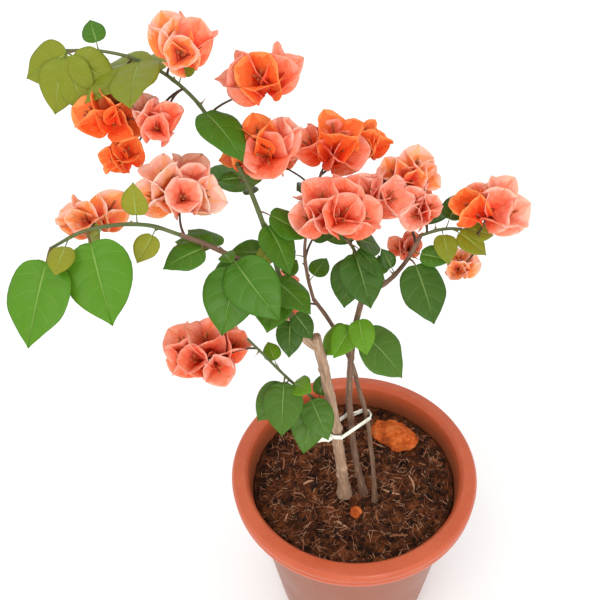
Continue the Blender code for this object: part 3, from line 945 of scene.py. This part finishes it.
def grow_bract_mass(gather, mass, palettes):
    """A mass's clusters, spread round its upper and outer side from a twig that enters it."""
    rng = random.Random("bracts " + mass)
    low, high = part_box("bract_mass_" + mass)
    centre, half = (low + high) / 2, (high - low) / 2
    foot = centre - UP * half.z * CLUSTER_FORK
    _, host, mark = nearest_limb(foot)
    grow_twig(mass, host, min(mark, 0.97), foot, BRACT_TWIG_RADII)
    count = max(3, round(half.x * (half.y + half.z) / 2 / CLUSTER_AREA))
    phase = rng.uniform(0, math.tau)
    tilt = UP.rotation_difference(CLUSTER_FACING)
    length = min(CLUSTER_LENGTH, CLUSTER_SPAN * half.x)
    for index in range(count):
        rise = 1 - CLUSTER_WRAP * (index + 0.5) / count
        wide = math.sqrt(1 - rise * rise)
        turn = GOLDEN_ANGLE * index + phase
        out = tilt @ Vector((wide * math.cos(turn), wide * math.sin(turn), rise))
        size = length * rng.uniform(0.88, 1.12)
        edge = centre + Vector((out.x * half.x, out.y * half.y, out.z * half.z))
        axis = (out + UP * CLUSTER_UPRIGHT).normalized()
        base = edge - axis * size * CLUSTER_SEAT
        grow_cluster(gather, mass, rng.uniform(0.75, 1), base, axis, size, rng.choice(palettes), rng)


def grow_young_leaves():
    """Small leaves at some of the buds of the younger limbs, turning round the limb from bud to bud."""
    for limb, (region, tones) in YOUNG_LEAVES.items():
        rng = random.Random("young " + limb)
        line = LINES[limb]
        for index, mark in enumerate(limb_nodes(limb, rng)):
            if rng.random() > YOUNG_CHANCE:
                continue
            heading = line.heading(mark)
            out = Matrix.Rotation(GOLDEN_ANGLE * index, 3, heading) @ heading.orthogonal().normalized()
            direction = (out + heading * 0.5 - UP * 0.1).normalized()
            base = line.at(mark) + direction * rng.uniform(*LEAF_STALK) * MM
            length = rng.uniform(*YOUNG_LENGTHS) * MM
            tone = rng.choice(tones)
            grow_leaf(LEAF_GATHERS[region], limb, mark, base, direction, YOUNG_FACING, length, tone, rng)


# ---- Pot, soil and lumps ------------------------------------------------------------------------

POT_STEPS = 160
RIM_WIDTH = 17 * MM
RIM_DROP = 20 * MM
RIM_FALL = 4 * MM
GROOVE_DROP = 13 * MM
FOOT_RADIUS = 83 * MM
WALL = 2.5 * MM
CORNER = 1.1 * MM
DRAIN_HOLES = 6
DRAIN_RADIUS = 6 * MM
DRAIN_CIRCLE = 52 * MM
DRAIN_TURN = math.radians(5)
POT_MOUTH = 107.5 * MM

SOIL_RINGS = 70
SOIL_TURNS = 200
CLODS = 3.2 * MM
FIBRES = 2000
CRUMBS = 900
CHIPS = 45
LITTER_REACH = 0.97

LATERITE_PITS = 0.16
TIE_SIDES = 10
TIE_BREADTH = 3.0 * MM
TIE_THICKNESS = 0.55 * MM
TAIL_BREADTH = 4.6 * MM
TIE_STEPS = 72
TIE_CREASE = 0.35 * MM
KNOT_SIZE = (3.4, 2.6, 3.8)


def patterned_material(label, tones, scales, roughness, specular, bump):
    """Three tones by coarse and fine noise, with a bump of the fine noise."""
    made, tree, shader = fresh_material(label)
    place = place_vector(tree, "Object")
    coarse = noise_value(tree, place, scales[0], 5, 0.62)
    fine = noise_value(tree, place, scales[1], 6, 0.68)
    toned = ramp(tree, coarse, ((0.36, tones[0]), (0.50, tones[1]), (0.66, tones[2])))
    speckled = mixed(tree, ranged(tree, fine, 0.52, 0.68, 0.0, 0.6), toned, tones[0])
    tree.links.new(speckled, shader.inputs["Base Color"])
    rough = ranged(tree, fine, 0.3, 0.7, roughness - 0.07, roughness + 0.07)
    tree.links.new(rough, shader.inputs["Roughness"])
    shader.inputs["Specular IOR Level"].default_value = specular
    add_bump(tree, shader, fine, bump)
    return made


def pot_material(soil_level):
    """Satin plastic with faint scuffs and pale dust specks; inside, darker brown toward the soil, as soil
    stain and painted shade deep in the pot.
    """
    made, tree, shader = fresh_material("pot_finish")
    place = place_vector(tree, "Object")
    clouds = noise_value(tree, place, 14, 4)
    scuffs = noise_value(tree, stretched(tree, place, (60, 60, 420)), 1.0, 4, 0.6)
    specks = noise_value(tree, place, 700, 2)
    toned = ramp(tree, clouds, ((0.35, (0.47, 0.082, 0.028)), (0.65, (0.54, 0.108, 0.040))))
    scuffed = mixed(tree, ranged(tree, scuffs, 0.60, 0.74, 0.0, 0.22), toned, (0.62, 0.20, 0.11))
    dusted = mixed(tree, ranged(tree, specks, 0.66, 0.74, 0.0, 0.35), scuffed, (0.66, 0.33, 0.22))
    split = tree.nodes.new("ShaderNodeSeparateXYZ")
    tree.links.new(place, split.inputs["Vector"])
    radius = tree.nodes.new("ShaderNodeVectorMath")
    radius.operation = "LENGTH"
    tree.links.new(stretched(tree, place, (1, 1, 0)), radius.inputs[0])
    # Inside the mouth, darker brown toward the soil: part soil stain, part painted shade deep in the pot.
    inside = ranged(tree, radius.outputs["Value"], POT_MOUTH + MM, POT_MOUTH - MM, 0.0, 1.0)
    near = ranged(tree, split.outputs["Z"], soil_level + 26 * MM, soil_level + 4 * MM, 0.0, 0.8)
    stain_and_shade = tree.nodes.new("ShaderNodeMath")
    stain_and_shade.operation = "MULTIPLY"
    tree.links.new(inside, stain_and_shade.inputs[0])
    tree.links.new(near, stain_and_shade.inputs[1])
    stained_and_shaded = mixed(tree, stain_and_shade.outputs["Value"], dusted, (0.20, 0.060, 0.024))
    tree.links.new(stained_and_shaded, shader.inputs["Base Color"])
    tree.links.new(ranged(tree, clouds, 0.3, 0.7, 0.32, 0.42), shader.inputs["Roughness"])
    shader.inputs["Specular IOR Level"].default_value = 0.35
    add_bump(tree, shader, scuffs, 0.00008)
    return made


def rounded(corners, radius):
    """A profile with each inner corner cut to a short curve."""
    corners = [Vector(corner) for corner in corners]
    points = [corners[0]]
    for before, here, after in zip(corners, corners[1:], corners[2:]):
        first = here + (before - here) * min(0.45, radius / (before - here).length)
        last = here + (after - here) * min(0.45, radius / (after - here).length)
        points += [first, first * 0.25 + here * 0.5 + last * 0.25, last]
    return points + [corners[-1]]


def pot_corners(rim, height):
    """The pot's profile of (radius, height): inner wall, rim, grooved band and outer wall."""
    mouth = rim - RIM_WIDTH
    lip = height - RIM_FALL
    foot = FOOT_RADIUS - WALL
    groove = height - GROOVE_DROP
    return [
        (0, WALL), (foot - WALL, WALL), (foot + 0.4 * WALL, 2.4 * WALL),
        (mouth - 0.1 * WALL, height - 2 * WALL), (mouth + 1.4 * WALL, height),
        (rim - WALL, lip + 0.4 * RIM_FALL), (rim, lip - 1.2 * WALL),
        (rim - 0.2 * WALL, groove + 0.5 * WALL), (rim - 0.55 * WALL, groove),
        (rim - 0.2 * WALL, groove - 0.5 * WALL), (rim - 0.5 * WALL, height - RIM_DROP),
        (rim - 1.4 * WALL, height - RIM_DROP), (rim - 1.3 * WALL, lip - 1.5 * WALL),
        (mouth + 2 * WALL, height - 1.2 * WALL), (mouth + WALL, height - 2.6 * WALL),
        (FOOT_RADIUS, 0.8 * WALL), (FOOT_RADIUS - 0.8 * WALL, 0), (0, 0),
    ]


def turned_mesh(name, profile, steps):
    """A closed turned mesh whose profile starts and ends on the axis, with its unrolled UV map."""
    rings = profile[1:-1]
    points = [(0, 0, profile[0][1]), (0, 0, profile[-1][1])]
    for radius, height in rings:
        points += [(x, y, height) for x, y in circle(radius, steps)]
    faces, spots = [], []
    count = len(rings)
    for step in range(steps):
        after = (step + 1) % steps
        for ring in range(count - 1):
            a, b = 2 + ring * steps + step, 2 + ring * steps + after
            faces.append((a, b, b + steps, a + steps))
            spots.append(((step, ring), (step + 1, ring), (step + 1, ring + 1), (step, ring + 1)))
        last = 2 + (count - 1) * steps
        faces.append((0, 2 + after, 2 + step))
        spots.append(((step, 0), (step + 1, 0), (step, 0)))
        faces.append((1, last + step, last + after))
        spots.append(((step, count), (step, count - 1), (step + 1, count - 1)))
    mesh = form_mesh(name, points, faces)
    layer = mesh.uv_layers.new(name="OFBake")
    flat = []
    for u, v in (spot for face in spots for spot in face):
        flat += [0.01 + 0.98 * u / steps, 0.01 + 0.98 * v / count]
    layer.data.foreach_set("uv", flat)
    face_outward(mesh)
    return mesh


def face_outward(mesh):
    """Turns the faces of a closed mesh outward."""
    bm = bmesh.new()
    bm.from_mesh(mesh)
    bmesh.ops.recalc_face_normals(bm, faces=bm.faces)
    bm.to_mesh(mesh)
    bm.free()


def build_pot(soil_level):
    """The pot in place of its CAD node: a fine turned shell with drain holes."""
    _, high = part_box("pot")
    mesh = turned_mesh("pot_shell", rounded(pot_corners(high.x, high.z), CORNER), POT_STEPS)
    bm = bmesh.new()
    for index in range(DRAIN_HOLES):
        turn = Matrix.Rotation(DRAIN_TURN + math.tau * index / DRAIN_HOLES, 4, "Z")
        cylinder = bmesh.ops.create_cone(bm, cap_ends=True, segments=24, radius1=DRAIN_RADIUS,
                                         radius2=DRAIN_RADIUS, depth=4 * WALL)
        bmesh.ops.translate(bm, vec=turn @ Vector((DRAIN_CIRCLE, 0, 0)), verts=cylinder["verts"])
    cutter_mesh = bpy.data.meshes.new("drain_cutter")
    bm.to_mesh(cutter_mesh)
    bm.free()
    cutter = added("drain_cutter", cutter_mesh)
    shell = added("uncut_pot", mesh)
    cutting = shell.modifiers.new("drain", "BOOLEAN")
    cutting.object = cutter
    graph = bpy.context.evaluated_depsgraph_get()
    drained = bpy.data.meshes.new_from_object(shell.evaluated_get(graph))
    for scratch in (shell, cutter):
        bpy.data.objects.remove(scratch)
    drained.materials.clear()
    drained.materials.append(pot_material(soil_level))
    made = show("pot_shell", drained, ["pot"])
    made.data.set_sharp_from_angle(angle=math.radians(40))


def soil_ground():
    """The CAD soil, ready for a ray that looks for its height."""
    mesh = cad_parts["soil"].data
    corners = [vertex.co.copy() for vertex in mesh.vertices]
    return BVHTree.FromPolygons(corners, [tuple(polygon.vertices) for polygon in mesh.polygons])


def clods(x, y):
    """How far the clods of the soil stand up at a place."""
    spot = Vector((x, y, 0))
    coarse = noise.noise(spot / (14 * MM)) * 0.9
    middle = abs(noise.noise(spot / (5 * MM) + Vector((3, 1, 0)))) * 0.9
    fine = noise.noise(spot / (1.8 * MM) + Vector((0, 7, 2))) * 0.35
    return CLODS * (coarse + middle + fine)


def build_soil(ground, edge, low):
    """The root ball in place of its CAD node, its top broken into clods."""
    points = [(0, 0, surface_height(ground, 0, 0))]
    for ring in range(1, SOIL_RINGS + 1):
        radius = edge * ring / SOIL_RINGS
        fade = min(1, (edge - radius) / (4 * MM) + 0.25)
        points += [(x, y, surface_height(ground, x, y, fade)) for x, y in circle(radius, SOIL_TURNS)]
    points += [(x, y, low) for x, y in circle(FOOT_RADIUS - 3 * WALL, SOIL_TURNS)]
    points.append((0, 0, low))
    faces = []
    for step in range(SOIL_TURNS):
        after = (step + 1) % SOIL_TURNS
        faces.append((0, 1 + step, 1 + after))
        for ring in range(SOIL_RINGS):
            a, b = 1 + ring * SOIL_TURNS + step, 1 + ring * SOIL_TURNS + after
            faces.append((a, a + SOIL_TURNS, b + SOIL_TURNS, b))
        last = 1 + SOIL_RINGS * SOIL_TURNS
        faces.append((last + step, len(points) - 1, last + after))
    tones = ((0.014, 0.006, 0.004), (0.080, 0.024, 0.009), (0.200, 0.058, 0.018))
    finish = patterned_material("soil_finish", tones, (70, 900), 0.93, 0.10, 0.0006)
    mesh = form_mesh("soil_bed", points, faces, finish)
    layer = mesh.uv_layers.new(name="OFBake")
    for loop in mesh.loops:
        spot = mesh.vertices[loop.vertex_index].co
        layer.data[loop.index].uv = (0.5 + spot.x * 0.48 / edge, 0.5 + spot.y * 0.48 / edge)
    show("soil_bed", mesh, ["soil"])


def surface_height(ground, x, y, fade=1.0):
    """The height of the soil's clods at a place."""
    hit = ground.ray_cast(Vector((x, y, 1)), Vector((0, 0, -1)))[0]
    return (hit.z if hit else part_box("soil")[1].z - CLODS) + clods(x, y) * fade


def soil_spot(rng, edge):
    """The (x, y) of a chance place on the soil."""
    radius, turn = edge * LITTER_REACH * math.sqrt(rng.random()), rng.uniform(0, math.tau)
    return radius * math.cos(turn), radius * math.sin(turn)


def scatter_soil(ground, edge):
    """Loose coir fibres, bark chips and crumbs on the soil, joined."""
    rng = random.Random("litter")
    litter = Gather()
    for index in range(FIBRES + CHIPS):
        chip = index >= FIBRES
        x, y = soil_spot(rng, edge)
        length = (rng.uniform(8, 20) if chip else rng.uniform(4, 13)) * MM
        heading, bend = rng.uniform(0, math.tau), rng.uniform(-0.8, 0.8)
        points = []
        for step in range(5):
            points.append((x, y, surface_height(ground, x, y) + rng.uniform(0.2, 1.0) * MM))
            angle = heading + bend * step / 4
            x, y = x + math.cos(angle) * length / 4, y + math.sin(angle) * length / 4
        if max(math.hypot(px, py) for px, py, _ in points) > edge * 0.98:
            continue
        thick = (rng.uniform(0.7, 1.5) if chip else rng.uniform(0.16, 0.42)) * MM
        tube, faces, _ = tube_form(Line(points, [thick * 0.7, thick, thick, thick, thick * 0.4]), 5)
        litter.add(tube, faces, rng.choice(("coir", "coir", "pale_coir", "dark_coir", "dark_coir")))
    for index in range(CRUMBS):
        x, y = soil_spot(rng, edge)
        size = rng.uniform(0.8, 2.6) * MM * (1.6 if rng.random() < 0.06 else 1)
        centre = Vector((x, y, surface_height(ground, x, y) + size * 0.2))
        points, faces = lumpy_ball(1, index, 0.5)
        litter.add([centre + point * size for point in points], faces,
                   rng.choice(("crumb", "crumb", "red_crumb", "black_crumb")))
    litter.piece("soil_litter", "potting_soil")


def lumpy_ball(cuts, seed, roughness):
    """The points and faces of a rough ball of radius about 1."""
    bm = bmesh.new()
    bmesh.ops.create_icosphere(bm, subdivisions=cuts, radius=1)
    points = []
    for vertex in bm.verts:
        out = vertex.co.normalized()
        spot = out * 1.3 + Vector((seed * 1.7, seed * 0.6, 0))
        points.append(out * (1 + roughness * (noise.noise(spot) + 0.4 * noise.noise(spot * 3))))
    faces = [tuple(vertex.index for vertex in face.verts) for face in bm.faces]
    bm.free()
    return points, faces


def build_lump(node, seed):
    """A pitted laterite lump in place of its CAD node, and as large."""
    centre, axes, half = mass_axes(node)
    points, faces = lumpy_ball(5 if max(half) > 20 * MM else 4, seed, 0.30)
    placed = []
    for point in points:
        pits = abs(noise.noise(point * 6)) + 0.6 * abs(noise.noise(point * 13))
        point = point * (1 - LATERITE_PITS * pits)
        steps = [axis * (part * size) for axis, part, size in zip(axes, point, half)]
        placed.append(centre + sum(steps, Vector()))
    tones = ((0.30, 0.055, 0.012), (0.60, 0.115, 0.020), (0.72, 0.200, 0.050))
    finish = patterned_material(node + "_finish", tones, (90, 800), 0.90, 0.12, 0.0007)
    mesh = form_mesh(node + "_rock", placed, faces, finish)
    face_outward(mesh)
    show(node + "_rock", mesh, [node])


# ---- Tie ----------------------------------------------------------------------------------------

def ribbon(name, points, breadths, closed, node):
    """A soft flat strip along points, upright across its breadth, in place of its CAD node."""
    count = len(points)
    places = np.array(points, float)
    forms, faces = [], []
    for index, place in enumerate(places):
        low, high = index - 1, (index + 1) % count
        if not closed:
            low, high = max(low, 0), min(index + 1, count - 1)
        along = Vector(places[high] - places[low]).normalized()
        outward = along.cross(UP).normalized()
        up = outward.cross(along)
        crease = TIE_CREASE * noise.noise(Vector(place) / (4 * MM))
        for side in range(TIE_SIDES):
            angle = math.tau * side / TIE_SIDES
            forms.append(Vector(place) + up * math.sin(angle) * breadths[index]
                         + outward * (math.cos(angle) * TIE_THICKNESS + crease * math.sin(2 * angle)))
    for index in range(count if closed else count - 1):
        for side in range(TIE_SIDES):
            a, b = index * TIE_SIDES + side, index * TIE_SIDES + (side + 1) % TIE_SIDES
            c, d = (a + TIE_SIDES) % len(forms), (b + TIE_SIDES) % len(forms)
            faces.append((a, b, d, c))
    if not closed:
        faces.append(tuple(range(TIE_SIDES)))
        faces.append(tuple(reversed(range(len(forms) - TIE_SIDES, len(forms)))))
    mesh = form_mesh(name, forms, faces, tie_material())
    face_outward(mesh)
    show(name, mesh, [node])


def tie_material():
    """Creased white plastic film."""
    if bpy.data.materials.get("tie_finish"):
        return bpy.data.materials["tie_finish"]
    tones = ((0.78, 0.77, 0.64), (0.90, 0.90, 0.78), (0.93, 0.93, 0.84))
    return patterned_material("tie_finish", tones, (160, 1200), 0.45, 0.4, 0.0002)


def build_tie():
    """The loop round the stems, its knot and its broad loose end."""
    vertices = np.array([vertex.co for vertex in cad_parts["tie_loop"].data.vertices])
    centre = vertices.mean(axis=0)
    angles = np.arctan2(vertices[:, 1] - centre[1], vertices[:, 0] - centre[0])
    loop = []
    for step in range(TIE_STEPS):
        gap = np.abs((angles - math.tau * step / TIE_STEPS + math.pi) % math.tau - math.pi)
        loop.append(vertices[np.argsort(gap)[:18]].mean(axis=0))
    ribbon("tie_band", loop, [TIE_BREADTH] * len(loop), True, "tie_loop")
    centres, _ = ring_line("tie_tail")
    nearest = [np.linalg.norm(end - centre) for end in (centres[0], centres[-1])]
    tail = centres if nearest[0] < nearest[1] else centres[::-1]
    line = Line(tail, [1] * len(tail)).resampled(1.2 * MM)
    count = len(line.points)
    breadths = [TAIL_BREADTH * (1 - 0.35 * index / (count - 1)) for index in range(count)]
    ribbon("tie_end", line.points, breadths, False, "tie_tail")
    points, faces = lumpy_ball(3, 4, 0.35)
    placed = []
    for point in points:
        placed.append(Vector(tail[0]) + Vector([part * size for part, size in zip(point, KNOT_SIZE)]) * MM)
    show("tie_knot", form_mesh("tie_knot", placed, faces, tie_material()))


# ---- Stage --------------------------------------------------------------------------------------

CAMERA_PLACE = (-0.0466, -0.4956, 0.8818)
CAMERA_PITCH = math.radians(41.83)
CAMERA_ROLL = math.radians(-2.67)
CAMERA_LENS = 48
SENSOR_WIDTH = 36
FLOOR_HALF = 6
# Lamps: the way to each from the plant, and its strength.
LAMPS = {"key": ((-0.9, -1.0, 1.9), 0.55), "fill": ((0.4, -1.7, 0.5), 1.15)}
LAMP_SPREAD = math.radians(28)


def build_camera():
    """A camera that looks down on the plant from the front."""
    data = bpy.data.cameras.new("camera")
    data.lens = CAMERA_LENS
    data.sensor_width = SENSOR_WIDTH
    camera = added("camera", data)
    forward = Vector((0, math.cos(CAMERA_PITCH), -math.sin(CAMERA_PITCH)))
    level_up = Vector((0, math.sin(CAMERA_PITCH), math.cos(CAMERA_PITCH)))
    right = math.cos(CAMERA_ROLL) * Vector((1, 0, 0)) + math.sin(CAMERA_ROLL) * level_up
    up = -math.sin(CAMERA_ROLL) * Vector((1, 0, 0)) + math.cos(CAMERA_ROLL) * level_up
    turn = Matrix((right, up, -forward)).transposed().to_4x4()
    camera.matrix_world = Matrix.Translation(CAMERA_PLACE) @ turn
    bpy.context.scene.camera = camera


def build_stage():
    """Pale floor and soft light."""
    made, _, shader = fresh_material("floor")
    shader.inputs["Base Color"].default_value = (0.97, 0.97, 0.965, 1)
    shader.inputs["Roughness"].default_value = 0.9
    half = FLOOR_HALF
    corners = [(-half, -half, 0), (half, -half, 0), (half, half, 0), (-half, half, 0)]
    added("floor", form_mesh("floor", corners, [(0, 1, 2, 3)], made))

    world = bpy.data.worlds.new("studio")
    bpy.context.scene.world = world
    world.use_nodes = True
    world.node_tree.nodes["Background"].inputs["Color"].default_value = (1, 1, 1, 1)
    world.node_tree.nodes["Background"].inputs["Strength"].default_value = 1.0
    for label, (way, strength) in LAMPS.items():
        lamp = bpy.data.lights.new(label, "SUN")
        lamp.energy = strength
        lamp.angle = LAMP_SPREAD
        light = added(label, lamp)
        light.matrix_world = (-Vector(way)).to_track_quat("-Z", "Y").to_matrix().to_4x4()
    bpy.context.scene.view_settings.view_transform = "Standard"


# ---- The plant ----------------------------------------------------------------------------------

build_camera()
build_stage()
LINES = {}
TWIG_GATHER = Gather()
LEAF_GATHERS = {region: Gather() for region in LEAF_SPRAYS}
BRACT_GATHERS = {region: Gather() for region in BRACT_SPRAYS}
for limb, (grows_from, _, _) in LIMBS.items():
    LINES[limb] = limb_line(limb, LINES.get(grows_from))
for limb in LIMBS:
    build_limb(limb)
for region, masses in LEAF_SPRAYS.items():
    for mass, (tone, count) in masses.items():
        grow_leaf_mass(LEAF_GATHERS[region], mass, tone, count)
for region, masses in BRACT_SPRAYS.items():
    for mass, palettes in masses.items():
        grow_bract_mass(BRACT_GATHERS[region], mass, palettes)
grow_young_leaves()
GROUND = soil_ground()
soil_low, soil_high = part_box("soil")
build_pot(soil_high.z)
build_soil(GROUND, soil_high.x, soil_low.z)
scatter_soil(GROUND, soil_high.x)
build_lump("laterite_lump", 3)
build_lump("laterite_crumb", 8)
build_tie()
for kind, mass_kind, gathers, sprays in (("leaves", "leaf_mass_", LEAF_GATHERS, LEAF_SPRAYS),
                                         ("bracts", "bract_mass_", BRACT_GATHERS, BRACT_SPRAYS)):
    for region, masses in sprays.items():
        gathers[region].piece(f"{kind}_{region}", kind, [mass_kind + mass for mass in masses])
TWIG_GATHER.piece("twigs", "green_bark")
